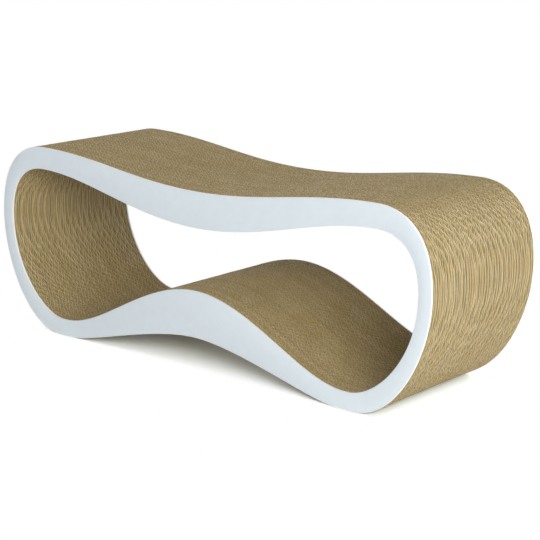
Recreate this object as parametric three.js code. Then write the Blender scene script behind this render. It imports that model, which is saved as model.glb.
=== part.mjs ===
// Cat scratcher lounge: a dumb-bell shaped ring of die-cut corrugated board, closed by a
// smooth panel on each face. Millimetres, +Z up, X along the length, the front panel at -Y.

import * as THREE from 'three';

// Overall size. Every layer and both panels are cut to one outline.
const length = 860;
const height = 308;
const depth = 270;

// Sheets through the depth, front to back.
const panelThickness = 3;
const boardThickness = 6.5;
const glueLine = 0.1;

// Outer outline, at its level and upright places. The top dips in the middle, rises to a lobe
// at each side, drops down the ends to two feet, and the underside arches between the feet.
const topDip = 28.5;
const lobeSpan = 668;
const endHeight = 186.5;
const footSpan = 576;
const footFlat = 24;
const archRise = 51.5;

// The tunnel's floor is level for a shorter stretch over each foot.
const floorFlat = 6;

// Width of the ring's wall at the same places: under the dip, under the lobes, at the ends,
// over the feet and over the arch.
const dipWall = 56;
const lobeWall = 36;
const endWall = 22.3;
const footWall = 27.6;
const archWall = 74;

// Each stretch of curve, from the place named first to the next: the share of its span for
// which it leaves and arrives straight, and the number of straight cuts that stand in for it.
const outerCurves = {
  dipToLobe: { leave: 0.4, arrive: 0.38, cuts: 4 },
  lobeToEnd: { leave: 0.48, arrive: 0.77, cuts: 6 },
  endToFoot: { leave: 0.41, arrive: 0.6, cuts: 7 },
  footToArch: { leave: 0.19, arrive: 0.33, cuts: 4 },
};
const innerCurves = {
  dipToLobe: { leave: 0.4, arrive: 0.32, cuts: 4 },
  lobeToEnd: { leave: 0.64, arrive: 0.63, cuts: 5 },
  endToFoot: { leave: 0.57, arrive: 0.42, cuts: 6 },
  footToArch: { leave: 0.29, arrive: 0.38, cuts: 6 },
};
const curveSamples = 240;

const panelColour = 0xe6ebee;
const panelRoughness = 0.45;
const boardColour = 0xa38a5c;
const boardRoughness = 0.9;

// The places along the right half of an outline where it runs level or upright.
const outerPlaces = {
  dip: [0, height - topDip],
  lobe: [lobeSpan / 2, height],
  end: [length / 2, endHeight],
  footOutside: [(footSpan + footFlat) / 2, 0],
  footInside: [(footSpan - footFlat) / 2, 0],
  arch: [0, archRise],
};
const innerPlaces = {
  dip: [0, height - topDip - dipWall],
  lobe: [lobeSpan / 2, height - lobeWall],
  end: [length / 2 - endWall, endHeight],
  footOutside: [(footSpan + floorFlat) / 2, footWall],
  footInside: [(footSpan - floorFlat) / 2, footWall],
  arch: [0, archRise + archWall],
};

// Straight cuts along a curve, closer where it is tighter, so that each strays from the curve
// by about the same amount. The last point is left to the next stretch.
function straighten(curve, cuts) {
  const points = curve.getPoints(curveSamples);
  const run = [0];
  for (let i = 1; i <= curveSamples; i += 1) {
    const before = curve.getTangent((i - 1) / curveSamples);
    const turn = before.angleTo(curve.getTangent(i / curveSamples));
    run.push(run[i - 1] + Math.sqrt(turn * points[i].distanceTo(points[i - 1])));
  }
  const share = run[curveSamples] / cuts;
  return Array.from({ length: cuts }, (_, k) => points[run.findIndex((sum) => sum >= k * share)]);
}

// One stretch of curve between two places. It leaves and arrives level, or upright at the end.
function stretch(from, to, { leave, arrive, cuts }, upright = {}) {
  const across = to[0] - from[0];
  const up = to[1] - from[1];
  const leaving = upright.from ? [0, leave * up] : [leave * across, 0];
  const arriving = upright.to ? [0, arrive * up] : [arrive * across, 0];
  const curve = new THREE.CubicBezierCurve(
    new THREE.Vector2(...from),
    new THREE.Vector2(from[0] + leaving[0], from[1] + leaving[1]),
    new THREE.Vector2(to[0] - arriving[0], to[1] - arriving[1]),
    new THREE.Vector2(...to),
  );
  return straighten(curve, cuts);
}

// Closed outline: the right half from the dip down to the arch, then its mirror image.
function outline(places, curves) {
  const right = [
    ...stretch(places.dip, places.lobe, curves.dipToLobe),
    ...stretch(places.lobe, places.end, curves.lobeToEnd, { to: true }),
    ...stretch(places.end, places.footOutside, curves.endToFoot, { from: true }),
    new THREE.Vector2(...places.footOutside),
    ...stretch(places.footInside, places.arch, curves.footToArch),
  ];
  const left = right.slice(1).reverse().map((point) => new THREE.Vector2(-point.x, point.y));
  return [...right, new THREE.Vector2(...places.arch), ...left];
}

const ring = new THREE.Shape(outline(outerPlaces, outerCurves));
ring.holes.push(new THREE.Path(outline(innerPlaces, innerCurves).reverse()));

// A sheet of the ring with its front side at the given depth.
function sheet(name, front, thickness, color, roughness) {
  const geometry = new THREE.ExtrudeGeometry(ring, { depth: thickness, bevelEnabled: false });
  geometry.rotateX(Math.PI / 2);
  geometry.translate(0, front + thickness, 0);
  const mesh = new THREE.Mesh(geometry, new THREE.MeshStandardMaterial({ color, roughness }));
  mesh.name = name;
  return mesh;
}

// The layers fill the depth between the panels, with a glue line on both sides of each layer.
const coreFront = -depth / 2 + panelThickness + glueLine;
const coreDepth = depth - 2 * panelThickness - glueLine;
const layerCount = Math.round(coreDepth / (boardThickness + glueLine));
const layerPitch = coreDepth / layerCount;

const group = new THREE.Group();
group.add(sheet('front_face_panel', -depth / 2, panelThickness, panelColour, panelRoughness));
for (let i = 0; i < layerCount; i += 1) {
  const name = `corrugated_layer_${String(i + 1).padStart(2, '0')}`;
  const front = coreFront + i * layerPitch;
  group.add(sheet(name, front, layerPitch - glueLine, boardColour, boardRoughness));
}
const rearFront = depth / 2 - panelThickness;
group.add(sheet('rear_face_panel', rearFront, panelThickness, panelColour, panelRoughness));

export default group;
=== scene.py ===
import math
import random
from bisect import bisect_left

import bmesh
import bpy
from mathutils import Matrix, Vector
from mathutils.geometry import interpolate_bezier


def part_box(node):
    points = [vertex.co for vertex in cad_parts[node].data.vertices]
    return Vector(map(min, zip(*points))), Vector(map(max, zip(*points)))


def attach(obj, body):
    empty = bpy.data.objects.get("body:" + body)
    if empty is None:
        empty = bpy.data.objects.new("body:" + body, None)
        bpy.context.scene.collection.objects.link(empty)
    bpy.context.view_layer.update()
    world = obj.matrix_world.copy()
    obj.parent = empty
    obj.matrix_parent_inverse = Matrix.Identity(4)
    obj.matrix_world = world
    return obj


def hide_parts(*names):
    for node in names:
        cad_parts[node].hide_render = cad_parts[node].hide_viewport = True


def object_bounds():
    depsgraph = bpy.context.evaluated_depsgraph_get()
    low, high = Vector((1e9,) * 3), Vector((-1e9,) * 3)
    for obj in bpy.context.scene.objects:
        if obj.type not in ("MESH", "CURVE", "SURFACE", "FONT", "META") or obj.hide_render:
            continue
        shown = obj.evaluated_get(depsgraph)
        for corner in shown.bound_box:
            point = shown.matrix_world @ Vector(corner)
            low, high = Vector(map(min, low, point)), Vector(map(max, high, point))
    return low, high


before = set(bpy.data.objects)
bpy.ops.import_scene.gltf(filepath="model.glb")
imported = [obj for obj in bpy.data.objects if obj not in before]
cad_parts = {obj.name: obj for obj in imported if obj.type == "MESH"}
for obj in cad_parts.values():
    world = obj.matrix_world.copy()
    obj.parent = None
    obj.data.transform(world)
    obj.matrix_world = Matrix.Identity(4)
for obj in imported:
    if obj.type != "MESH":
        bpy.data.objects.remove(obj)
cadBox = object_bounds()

random.seed(7)
scene = bpy.context.scene
scene.view_settings.view_transform = "Standard"
boardNodes = sorted(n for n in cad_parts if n.startswith("corrugated_layer"))


# Camera

view = {
    "place": (1.6113, -1.9226, 0.7492),
    "around": 39.32,           # degrees from straight in front, towards the right
    "above": 13.77,            # degrees above level
    "roll": 0.74,              # degrees
    "focalLength": 1633.4,     # in pixels of the square frame
    "frameSide": 540,
    "sensorSide": 36,          # mm
}


def turned(around, above):
    # the turn of a camera or lamp that stands this far around and above, and faces the object
    turn = Matrix.Rotation(math.radians(around), 4, "Z")
    return turn @ Matrix.Rotation(math.radians(90 - above), 4, "X")


def makeCamera():
    eye = bpy.data.objects.new("camera", bpy.data.cameras.new("camera"))
    eye.data.sensor_width = view["sensorSide"]
    eye.data.lens = view["sensorSide"] * view["focalLength"] / view["frameSide"]
    roll = Matrix.Rotation(math.radians(view["roll"]), 4, "Z")
    eye.matrix_world = Matrix.Translation(view["place"]) @ turned(view["around"], view["above"]) @ roll
    scene.collection.objects.link(eye)
    scene.camera = eye


# Nodes and colours

paperIor = 1.5    # cellulose, also under a thin coating
noiseSpan = {"From Min": 0.3, "From Max": 0.7}    # where most of a noise texture lies


def linear(hexColour):
    # an sRGB hex colour as the linear colour that the shaders take
    channels = [int(hexColour[i:i + 2], 16) / 255 for i in (0, 2, 4)]
    return [c / 12.92 if c <= 0.04045 else ((c + 0.055) / 1.055) ** 2.4 for c in channels] + [1]


def addNode(tree, kind, inputs=None, **settings):
    # one node with its settings, and each input either linked or set
    node = tree.nodes.new(kind)
    for name, value in settings.items():
        setattr(node, name, value)
    for name, value in (inputs or {}).items():
        if isinstance(value, bpy.types.NodeSocket):
            tree.links.new(value, node.inputs[name])
        else:
            node.inputs[name].default_value = value
    return node


def newMaterial(name):
    # an empty material, its node tree, and the place on the object in millimetres
    material = bpy.data.materials.new(name)
    material.use_nodes = True
    tree = material.node_tree
    tree.nodes.clear()
    place = addNode(tree, "ShaderNodeTexCoord").outputs["Object"]
    millimetres = addNode(tree, "ShaderNodeVectorMath", {0: place, "Scale": 1000}, operation="SCALE")
    return material, tree, millimetres.outputs[0]


# Kraft papers of the corrugated board: recycled testliner and fluting, die cut

firstFront, secondFront = [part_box(node)[0].y for node in boardNodes[:2]]
kraft = {
    # the faces show only inside the cells; they are drawn darker than the cut edges, partly because a torn
    # edge of this paper is paler and partly as painted shade, so that the cells read as dark holes
    "linerFace": "a28d5b",
    "flutingFace": "998454",
    "linerEdge": "c2ad81",
    "flutingEdge": "d2be92",
    "boardFront": firstFront * 1000,    # mm, where the first board starts
    "boardPitch": (secondFront - firstFront) * 1000,
    "boardTones": (0.94, 1.06),
    "fibreLength": 5.0,        # mm along X, the way the paper runs through the machine
    "fibreWidth": 0.9,         # real fibres are 0.03 mm wide, too fine to show at 1 mm a pixel
    "fibreTones": (0.93, 1.06),
    "cloudSize": 30,           # mm, uneven stock
    "cloudTones": (0.95, 1.04),
    "cloudSaturation": (1.05, 0.96),
    "fleckSpacing": 3.2,       # mm between dark flecks of recycled pulp
    "fleckSize": 0.45,         # mm, drawn about twice their real size
    "fleckTone": 0.72,
    "tuftSize": 1.6,           # mm, torn fibres on a cut edge, drawn three times coarser than they are
    "tuftHeight": 5,           # mm, how far a tuft is drawn out up and down
    "tuftTones": (0.88, 1.1),
    "roughness": (0.84, 0.97),
    "fuzz": 0.05,              # loose fibres on a cut edge, which catch light that grazes them
    "fuzzRoughness": 0.5,
    "reliefStrength": 0.5,
    "fibreDepth": 0.0001,      # in metres, as the bump takes it
    "tuftDepth": 0.0004,
}


def kraftPaper(name, hexColour, torn=False):
    # warm brown recycled paper with streaky fibres, dark flecks and clouds, each board with its own tone
    material, tree, mm = newMaterial(name)
    fibreScale = (1 / kraft["fibreLength"], 1 / kraft["fibreWidth"], 1 / kraft["fibreWidth"])
    along = addNode(tree, "ShaderNodeVectorMath", {0: mm, 1: fibreScale}, operation="MULTIPLY")
    fibres = addNode(tree, "ShaderNodeTexNoise", {"Vector": along.outputs[0], "Scale": 1, "Detail": 3})
    clouds = addNode(tree, "ShaderNodeTexNoise", {"Vector": mm, "Scale": 1 / kraft["cloudSize"], "Detail": 2})
    depth = addNode(tree, "ShaderNodeSeparateXYZ", {0: mm}).outputs["Y"]
    fromFront = addNode(tree, "ShaderNodeMath", {0: depth, 1: kraft["boardFront"]}, operation="SUBTRACT")
    boards = addNode(tree, "ShaderNodeMath", {
        0: fromFront.outputs[0], 1: kraft["boardPitch"],
    }, operation="DIVIDE")
    boardNumber = addNode(tree, "ShaderNodeMath", {0: boards.outputs[0]}, operation="FLOOR")
    lot = addNode(tree, "ShaderNodeTexWhiteNoise", {"W": boardNumber.outputs[0]}, noise_dimensions="1D")
    pulp = addNode(tree, "ShaderNodeTexVoronoi", {"Vector": mm, "Scale": 1 / kraft["fleckSpacing"]})
    fleckEdge = kraft["fleckSize"] / kraft["fleckSpacing"]
    fleckSpan = {"From Min": fleckEdge / 2, "From Max": fleckEdge}
    patterns = [
        (fibres.outputs["Fac"], noiseSpan, kraft["fibreTones"]),
        (clouds.outputs["Fac"], noiseSpan, kraft["cloudTones"]),
        (lot.outputs["Value"], {}, kraft["boardTones"]),
        (pulp.outputs["Distance"], fleckSpan, (kraft["fleckTone"], 1)),
    ]
    relief = fibres
    if torn:
        tuftScale = (1 / kraft["tuftSize"], 1 / kraft["tuftSize"], 1 / kraft["tuftHeight"])
        tufts = addNode(tree, "ShaderNodeVectorMath", {0: mm, 1: tuftScale}, operation="MULTIPLY")
        relief = addNode(tree, "ShaderNodeTexNoise", {"Vector": tufts.outputs[0], "Scale": 1, "Detail": 2})
        patterns.append((relief.outputs["Fac"], noiseSpan, kraft["tuftTones"]))
    tone = 1
    for value, span, (low, high) in patterns:
        part = addNode(tree, "ShaderNodeMapRange", {"Value": value, **span, "To Min": low, "To Max": high})
        tone = addNode(tree, "ShaderNodeMath", {0: tone, 1: part.outputs[0]}, operation="MULTIPLY").outputs[0]
    purity = addNode(tree, "ShaderNodeMapRange", {
        "Value": clouds.outputs["Fac"], **noiseSpan,
        "To Min": kraft["cloudSaturation"][0], "To Max": kraft["cloudSaturation"][1],
    })
    colour = addNode(tree, "ShaderNodeHueSaturation", {
        "Color": linear(hexColour), "Saturation": purity.outputs[0], "Value": tone,
    })
    dullness = addNode(tree, "ShaderNodeMapRange", {
        "Value": fibres.outputs["Fac"], "To Min": kraft["roughness"][0], "To Max": kraft["roughness"][1],
    })
    bump = addNode(tree, "ShaderNodeBump", {
        "Height": relief.outputs["Fac"], "Strength": kraft["reliefStrength"],
        "Distance": kraft["tuftDepth" if torn else "fibreDepth"],
    })
    shader = addNode(tree, "ShaderNodeBsdfPrincipled", {
        "Base Color": colour.outputs[0], "Roughness": dullness.outputs[0], "Normal": bump.outputs[0],
        "IOR": paperIor, "Sheen Weight": kraft["fuzz"] if torn else 0.0,
        "Sheen Roughness": kraft["fuzzRoughness"],
    })
    addNode(tree, "ShaderNodeOutputMaterial", {"Surface": shader.outputs[0]})
    return material


# Panels: solid bleached board, clay coated and matt laminated on its face, die cut through its plies

panel = {
    "faceColour": "e3ecf0",
    "faceRoughness": (0.46, 0.58),
    "mottle": 14,              # mm, faint clouds in the coating
    "mottleTones": (0.985, 1.012),
    "orangePeel": 1.6,         # mm, lamination ripple, real ripple is finer than a pixel
    "rippleStrength": 0.15,
    "rippleDepth": 0.00005,    # in metres, as the bump takes it
    "edgeColour": "fbf6e8",
    "edgeRoughness": (0.8, 0.95),
    "edgeFibres": 1.1,         # tufts to a millimetre
    "plyPitch": 0.75,          # mm, real plies are 0.4 mm, too fine to show
    "plyShare": 0.35,          # how much the plies count, against 1 for the fibres
    "plySpan": (0.1, 0.9),     # what the two mostly come to together
    "plyTones": (0.88, 1.05),
    "plyStrength": 0.4,
    "plyDepth": 0.0001,
    "edgeRadius": 0.0007,
    "edgeSegments": 3,
}


def coatedFace(name):
    # cool white, even and satin, with a faint mottle that keeps it from looking like plain paint
    material, tree, mm = newMaterial(name)
    mottle = addNode(tree, "ShaderNodeTexNoise", {"Vector": mm, "Scale": 1 / panel["mottle"], "Detail": 4})
    tone = addNode(tree, "ShaderNodeMapRange", {
        "Value": mottle.outputs["Fac"], **noiseSpan,
        "To Min": panel["mottleTones"][0], "To Max": panel["mottleTones"][1],
    })
    colour = addNode(tree, "ShaderNodeHueSaturation", {
        "Color": linear(panel["faceColour"]), "Value": tone.outputs[0],
    })
    ripple = addNode(tree, "ShaderNodeTexNoise", {
        "Vector": mm, "Scale": 1 / panel["orangePeel"], "Detail": 2,
    })
    gloss = addNode(tree, "ShaderNodeMapRange", {
        "Value": ripple.outputs["Fac"],
        "To Min": panel["faceRoughness"][0], "To Max": panel["faceRoughness"][1],
    })
    bump = addNode(tree, "ShaderNodeBump", {
        "Height": ripple.outputs["Fac"],
        "Strength": panel["rippleStrength"], "Distance": panel["rippleDepth"],
    })
    shader = addNode(tree, "ShaderNodeBsdfPrincipled", {
        "Base Color": colour.outputs[0], "Roughness": gloss.outputs[0],
        "Normal": bump.outputs[0], "IOR": paperIor,
    })
    addNode(tree, "ShaderNodeOutputMaterial", {"Surface": shader.outputs[0]})
    return material


def pulpEdge(name):
    # cream cut through the pressed plies, which show as thin lines that follow the panel
    material, tree, mm = newMaterial(name)
    depth = addNode(tree, "ShaderNodeSeparateXYZ", {0: mm}).outputs["Y"]
    turn = 2 * math.pi / panel["plyPitch"]
    plies = addNode(tree, "ShaderNodeMath", {0: depth, 1: turn}, operation="MULTIPLY")
    wave = addNode(tree, "ShaderNodeMath", {0: plies.outputs[0]}, operation="SINE")
    fibres = addNode(tree, "ShaderNodeTexNoise", {"Vector": mm, "Scale": panel["edgeFibres"], "Detail": 3})
    mixed = addNode(tree, "ShaderNodeMath", {
        0: wave.outputs[0], 1: panel["plyShare"], 2: fibres.outputs["Fac"],
    }, operation="MULTIPLY_ADD")
    tone = addNode(tree, "ShaderNodeMapRange", {
        "Value": mixed.outputs[0], "From Min": panel["plySpan"][0], "From Max": panel["plySpan"][1],
        "To Min": panel["plyTones"][0], "To Max": panel["plyTones"][1],
    })
    colour = addNode(tree, "ShaderNodeHueSaturation", {
        "Color": linear(panel["edgeColour"]), "Value": tone.outputs[0],
    })
    dullness = addNode(tree, "ShaderNodeMapRange", {
        "Value": fibres.outputs["Fac"],
        "To Min": panel["edgeRoughness"][0], "To Max": panel["edgeRoughness"][1],
    })
    bump = addNode(tree, "ShaderNodeBump", {
        "Height": mixed.outputs[0], "Strength": panel["plyStrength"], "Distance": panel["plyDepth"],
    })
    shader = addNode(tree, "ShaderNodeBsdfPrincipled", {
        "Base Color": colour.outputs[0], "Roughness": dullness.outputs[0],
        "Normal": bump.outputs[0], "IOR": paperIor,
    })
    addNode(tree, "ShaderNodeOutputMaterial", {"Surface": shader.outputs[0]})
    return material


# The outline that every sheet is cut to, in metres

ring = {
    "length": cadBox[1].x - cadBox[0].x,
    "height": cadBox[1].z - cadBox[0].z,
    "topDip": 0.0285,
    "lobeSpan": 0.668,
    "endHeight": 0.1865,
    "footSpan": 0.576,
    "footFlat": 0.024,
    "floorFlat": 0.006,
    "archRise": 0.0515,
    "dipWall": 0.056,
    "lobeWall": 0.036,
    "endWall": 0.0223,
    "footWall": 0.0276,
    "archWall": 0.074,
    # how long a stretch keeps its first and its last direction, as shares of its span:
    # from dip to lobe, lobe to end, end to foot and foot to arch
    "outerBends": [(0.4, 0.38), (0.48, 0.77), (0.41, 0.6), (0.19, 0.33)],
    "innerBends": [(0.4, 0.32), (0.64, 0.63), (0.57, 0.42), (0.29, 0.38)],
}
sharpAngle = math.radians(60)    # past this an edge is a cut one


def ringPlaces(inner):
    # dip, lobe, end, foot outside, foot inside, arch: where the outline runs level or upright
    flat = ring["floorFlat"] if inner else ring["footFlat"]
    foot = ring["footWall"] if inner else 0
    return [
        Vector((0, ring["height"] - ring["topDip"] - inner * ring["dipWall"])),
        Vector((ring["lobeSpan"] / 2, ring["height"] - inner * ring["lobeWall"])),
        Vector((ring["length"] / 2 - inner * ring["endWall"], ring["endHeight"])),
        Vector(((ring["footSpan"] + flat) / 2, foot)),
        Vector(((ring["footSpan"] - flat) / 2, foot)),
        Vector((0, ring["archRise"] + inner * ring["archWall"])),
    ]


def bend(start, end, shares, steps, uprightStart=False, uprightEnd=False):
    span = end - start
    first = start + shares[0] * Vector((0, span.y) if uprightStart else (span.x, 0))
    last = end - shares[1] * Vector((0, span.y) if uprightEnd else (span.x, 0))
    return interpolate_bezier(start, first, last, end, steps + 1)


def rightHalf(inner, steps):
    # the upper stretch from the dip to the end, and the lower one from the end to the arch
    dip, lobe, end, footOut, footIn, arch = ringPlaces(inner)
    bends = ring["innerBends"] if inner else ring["outerBends"]
    upper = bend(dip, lobe, bends[0], steps)[:-1] + bend(lobe, end, bends[1], steps, uprightEnd=True)
    lower = bend(end, footOut, bends[2], steps, uprightStart=True) + bend(footIn, arch, bends[3], steps)
    return upper, lower


def closedOutline(inner, steps):
    upper, lower = rightHalf(inner, steps)
    right = upper + lower[1:]
    return right + [Vector((-p.x, p.y)) for p in reversed(right[1:-1])]


def thicken(bm):
    # from a flat sheet at y -1, one with a face at y 1 too and cut edges between the two
    second = bmesh.ops.extrude_face_region(bm, geom=bm.faces[:])["geom"]
    for v in (g for g in second if isinstance(g, bmesh.types.BMVert)):
        v.co.y = 1
    bmesh.ops.recalc_face_normals(bm, faces=bm.faces[:])
    for f in bm.faces:
        f.material_index = 1 if len({v.co.y > 0 for v in f.verts}) > 1 else 0
    sheet = bpy.data.meshes.new("sheet")
    bm.to_mesh(sheet)
    bm.free()
    return sheet


def flatRing(steps):
    # a sheet that stays flat: its rim drawn in to the tunnel, then thickened
    bm = bmesh.new()
    outer, inner = closedOutline(False, steps), closedOutline(True, steps)
    rim = bmesh.ops.create_circle(bm, segments=len(outer), radius=1)["verts"]
    opposite = {}
    for v, p, q in zip(rim, outer, inner):
        v.co = (p.x, -1, p.y)
        opposite[v] = q
    drawn = bmesh.ops.extrude_edge_only(bm, edges=bm.edges[:])["geom"]
    for v in (g for g in drawn if isinstance(g, bmesh.types.BMVert)):
        start = next(e.other_vert(v) for e in v.link_edges if e.other_vert(v) in opposite)
        v.co = (opposite[start].x, -1, opposite[start].y)
    return thicken(bm)


# The corrugated boards: three liners and two wavy sheets in each, with the flutes upright

board = {
    "linerThickness": 0.00030,
    "coarseThickness": 0.00070,    # both wavy sheets are drawn thicker than they are,
    "fineThickness": 0.00060,      # so that their cut edges show
    "coarseShare": 0.65,       # of the room between the liners, the fine flute has the rest
    "coarsePitch": 0.0090,
    "finePitch": 0.0075,
    "pitchSpread": 0.0012,     # as a share, so that the waves of two boards drift apart to the right
    "coarseStart": 0.47,       # where the waves start at the left end, in turns: nearly the same
    "fineStart": 0.77,         # on all boards, as they are cut from one lot
    "startSpread": 0.07,
    "raggedCut": 0.0002,       # how far the torn edge of a wave stands up or falls short
    "cutShift": 0.00025,       # how far a board may sit off its neighbours
    "outlineSteps": 48,        # to a stretch, on the sheets that stay flat
    "traceSteps": 400,         # to a stretch, where the columns of the wavy sheets read their height
    "columnStep": 0.0009,      # ten straight columns to a coarse wave
    "endColumns": 9,           # columns that close up where the outline turns upright
}


def columnsTo(start, end):
    # even columns from start, then closer and closer to an end where the outline turns upright
    last, step = board["endColumns"], board["columnStep"]
    finest = step / 2 / last
    run = end - start - finest * last ** 2
    count = math.ceil(run / step)
    even = [start + run * i / count for i in range(count)]
    return even + [end - finest * k * k for k in range(last, -1, -1)]


def heightAt(points):
    # the outline's height for a place along X
    points = sorted(points, key=lambda p: p.x)
    places = [p.x for p in points]

    def height(x):
        i = min(max(bisect_left(places, x), 1), len(places) - 1)
        a, b = points[i - 1], points[i]
        share = (x - a.x) / (b.x - a.x) if b.x > a.x else 1
        return a.y + (b.y - a.y) * min(max(share, 0), 1)
    return height


def flatStrips():
    # a closed sheet as upright strips, one between each two columns, so that it can be waved
    end, tunnel = ring["length"] / 2, ring["length"] / 2 - ring["endWall"]
    right = columnsTo(0, tunnel)[:-1] + columnsTo(tunnel, end)
    columns = [-x for x in reversed(right[1:])] + right
    last = len(columns) - 1
    outer, inner = rightHalf(False, board["traceSteps"]), rightHalf(True, board["traceSteps"])
    rows = [heightAt(points) for points in (outer[1], inner[1], inner[0], outer[0])]
    bm = bmesh.new()
    bmesh.ops.create_grid(bm, x_segments=last, y_segments=len(rows) - 1, size=1)
    opening = [f for f in bm.faces if abs(f.calc_center_median().y) < 1 / len(rows)]
    bmesh.ops.delete(bm, geom=opening, context="FACES")
    for v in bm.verts:
        x = columns[round((v.co.x + 1) / 2 * last)]
        row = round((v.co.y + 1) / 2 * (len(rows) - 1))
        beyond = abs(x) >= tunnel and row in (1, 2)
        v.co = (x, -1, ring["endHeight"] if beyond else rows[row](abs(x)))
    bmesh.ops.remove_doubles(bm, verts=bm.verts[:], dist=1e-6)
    return thicken(bm)


def addSheet(bm, sheet, middle, thickness, paper, wave=None):
    # one sheet of the board at its depth. A wave is a height, a pitch and the turns it starts at on the left
    old = len(bm.verts)
    oldFaces = len(bm.faces)
    bm.from_mesh(sheet)
    bm.verts.ensure_lookup_table()
    bm.faces.ensure_lookup_table()
    for f in bm.faces[oldFaces:]:
        f.material_index = paper + 2 * f.material_index    # both edge papers come after both faces
    if wave is None:
        for v in bm.verts[old:]:
            v.co.y = middle + v.co.y * thickness / 2
        return
    height, pitch, turns = wave
    turn = 2 * math.pi / pitch
    for v in bm.verts[old:]:
        v.co.z += random.uniform(-1, 1) * board["raggedCut"]
        angle = turn * (v.co.x + ring["length"] / 2) + 2 * math.pi * turns
        slope = height * turn * math.cos(angle)
        v.co.y = middle + height * math.sin(angle) + v.co.y * thickness / 2 * math.sqrt(1 + slope * slope)


def makeBoard(number, node, flat, strips, papers):
    # every second board is turned over, so that coarse flutes lie against coarse ones and fine against fine
    low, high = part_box(node)
    liner = board["linerThickness"]
    room = high.y - low.y - 3 * liner
    coarse, fine = room * board["coarseShare"], room * (1 - board["coarseShare"])
    flip = -1 if number % 2 else 1
    front = low.y if flip > 0 else high.y
    bm = bmesh.new()
    for depth in (liner / 2, liner * 1.5 + coarse, liner * 2.5 + room):
        addSheet(bm, flat, front + flip * depth, liner, 0)
    flutes = [("coarse", liner + coarse / 2, coarse), ("fine", liner * 2 + coarse + fine / 2, fine)]
    for flute, middle, space in flutes:
        thickness = board[flute + "Thickness"]
        pitch = board[flute + "Pitch"] * random.gauss(1, board["pitchSpread"])
        turns = board[flute + "Start"] + random.gauss(0, board["startSpread"])
        wave = flip * (space - thickness) / 2, pitch, turns
        addSheet(bm, strips, front + flip * middle, thickness, 1, wave)
    aside = random.uniform(-board["cutShift"], board["cutShift"])
    up = random.uniform(0, board["cutShift"])
    bmesh.ops.translate(bm, verts=bm.verts[:], vec=(aside, 0, up))
    finishPiece(bm, f"corrugatedBoard{number + 1:02d}", node, papers)


def makePanel(name, node, flat, materials):
    low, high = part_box(node)
    bm = bmesh.new()
    bm.from_mesh(flat)
    for v in bm.verts:
        v.co.y = (low.y + high.y) / 2 + v.co.y * (high.y - low.y) / 2
    bm.normal_update()
    cut = [e for e in bm.edges if len(e.link_faces) == 2 and e.calc_face_angle() > sharpAngle]
    bmesh.ops.bevel(bm, geom=cut, offset=panel["edgeRadius"], offset_type="OFFSET", affect="EDGES",
                    segments=panel["edgeSegments"], profile=0.5, material=-1)
    finishPiece(bm, name, node, materials)


def finishPiece(bm, name, node, materials):
    mesh = bpy.data.meshes.new(name)
    bm.to_mesh(mesh)
    bm.free()
    for material in materials:
        mesh.materials.append(material)
    mesh.shade_smooth()
    mesh.set_sharp_from_angle(angle=sharpAngle)
    piece = bpy.data.objects.new(name, mesh)
    scene.collection.objects.link(piece)
    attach(piece, "root")
    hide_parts(node)


# Floor, world and lamps

studio = {
    "floorColour": "f6f6f6",
    "floorSide": 24,
    "floorCells": 8,           # along each side
    "floorDrop": 0.0003,       # under the feet, so that no two faces lie in one plane
    "shadeColour": "eff6f5",   # the floor in the ring's shade, cool against the brown light off the board
    "shadeGain": 2.15,         # only for what the camera sees, where the ring stands close
    "shadowReach": 0.22,       # metres, farther from the ring the camera sees plain white
    "shadowOpenness": (0.12, 0.44),    # how open the floor is where the shadow is whole, and where it ends
    "shadowSamples": 12,
    "worldColour": "ffffff",
    "worldLevel": 0.18,        # on the object, where 1 would render a colour as it is written
    "lampDistance": 4.5,
}

# degrees around and above as for the camera, level as for the world, metres wide and high, colour
lamps = {
    "keyLamp": (50, 22, 0.53, 2.4, 1.2, "ffffff"),
    "lowLamp": (50, 7, 0.2, 2.4, 1.2, "ffffff"),
    "sideLamp": (75, 45, 0.18, 2.4, 1.2, "f0f5ff"),
    "endLamp": (95, 2, 0.35, 2.4, 0.3, "d6e4ff"),
    "rearLamp": (215, 12, 0.65, 2.4, 1.2, "ffffff"),
}


def seenRays(tree):
    # camera rays, and the rays that carry the background into a gloss or through glass
    path = addNode(tree, "ShaderNodeLightPath").outputs
    seen = path["Is Camera Ray"]
    for other in ("Is Glossy Ray", "Is Transmission Ray"):
        seen = addNode(tree, "ShaderNodeMath", {0: seen, 1: path[other]}, operation="MAXIMUM").outputs[0]
    return seen


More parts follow.
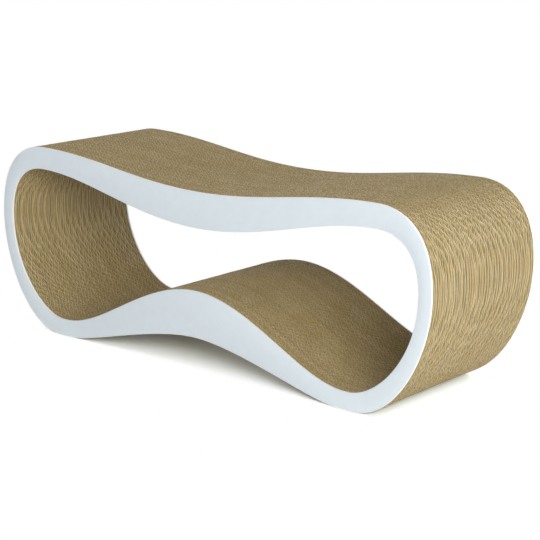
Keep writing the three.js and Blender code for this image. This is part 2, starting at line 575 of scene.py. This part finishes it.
def makeFloor():
    # pale matt floor that the camera sees as plain white, except for the shadow close to the ring
    bm = bmesh.new()
    cells = studio["floorCells"]
    bmesh.ops.create_grid(bm, x_segments=cells, y_segments=cells, size=studio["floorSide"] / 2)
    bmesh.ops.translate(bm, verts=bm.verts[:], vec=(0, 0, -studio["floorDrop"]))
    mesh = bpy.data.meshes.new("floor")
    bm.to_mesh(mesh)
    bm.free()
    material, tree, _ = newMaterial("paleMattFloor")
    plain = addNode(tree, "ShaderNodeBsdfDiffuse", {"Color": linear(studio["floorColour"])})
    bright = [c * studio["shadeGain"] for c in linear(studio["shadeColour"])[:3]] + [1]
    gained = addNode(tree, "ShaderNodeBsdfDiffuse", {"Color": bright})
    white = addNode(tree, "ShaderNodeEmission", {"Color": (1, 1, 1, 1), "Strength": 1})
    openness = addNode(tree, "ShaderNodeAmbientOcclusion", {
        "Distance": studio["shadowReach"],
    }, samples=studio["shadowSamples"])
    share = addNode(tree, "ShaderNodeMapRange", {
        "Value": openness.outputs["AO"],
        "From Min": studio["shadowOpenness"][0], "From Max": studio["shadowOpenness"][1],
    }, interpolation_type="SMOOTHSTEP")
    seen = addNode(tree, "ShaderNodeMixShader", {
        0: share.outputs[0], 1: gained.outputs[0], 2: white.outputs[0],
    })
    mixed = addNode(tree, "ShaderNodeMixShader", {0: seenRays(tree), 1: plain.outputs[0], 2: seen.outputs[0]})
    addNode(tree, "ShaderNodeOutputMaterial", {"Surface": mixed.outputs[0]})
    mesh.materials.append(material)
    floor = bpy.data.objects.new("floor", mesh)
    scene.collection.objects.link(floor)


def makeWorld():
    world = bpy.data.worlds.new("studio")
    world.use_nodes = True
    tree = world.node_tree
    tree.nodes.clear()
    light = addNode(tree, "ShaderNodeBackground", {
        "Color": linear(studio["worldColour"]), "Strength": studio["worldLevel"],
    })
    white = addNode(tree, "ShaderNodeBackground", {"Color": (1, 1, 1, 1), "Strength": 1})
    mixed = addNode(tree, "ShaderNodeMixShader", {
        0: seenRays(tree), 1: light.outputs[0], 2: white.outputs[0],
    })
    addNode(tree, "ShaderNodeOutputWorld", {"Surface": mixed.outputs[0]})
    scene.world = world


def makeLamp(name, around, above, level, width, height, hexColour):
    # a soft box that faces the middle of the ring, with its power from the level it gives there
    distance = studio["lampDistance"]
    lamp = bpy.data.lights.new(name, "AREA")
    lamp.shape = "RECTANGLE"
    lamp.size, lamp.size_y = width, height
    lamp.color = linear(hexColour)[:3]
    lamp.energy = level * (math.pi * distance) ** 2
    box = bpy.data.objects.new(name, lamp)
    middle = Matrix.Translation((0, 0, ring["height"] / 2))
    box.matrix_world = middle @ turned(around, above) @ Matrix.Translation((0, 0, distance))
    scene.collection.objects.link(box)


makeCamera()
makeFloor()
makeWorld()
for name, settings in lamps.items():
    makeLamp(name, *settings)
print("stage ready")

flat, strips = flatRing(board["outlineSteps"]), flatStrips()
papers = [
    kraftPaper("recycledTestlinerPaper", kraft["linerFace"]),
    kraftPaper("recycledFlutingPaper", kraft["flutingFace"]),
    kraftPaper("dieCutTestlinerEdge", kraft["linerEdge"], torn=True),
    kraftPaper("dieCutFlutingEdge", kraft["flutingEdge"], torn=True),
]
for number, node in enumerate(boardNodes):
    makeBoard(number, node, flat, strips, papers)
print(len(boardNodes), "corrugated boards ready")

panelMaterials = [coatedFace("clayCoatedWhiteBoard"), pulpEdge("dieCutBleachedBoardEdge")]
makePanel("frontPanel", "front_face_panel", flat, panelMaterials)
makePanel("rearPanel", "rear_face_panel", flat, panelMaterials)
print("panels ready")

for sheet in (flat, strips):
    bpy.data.meshes.remove(sheet)
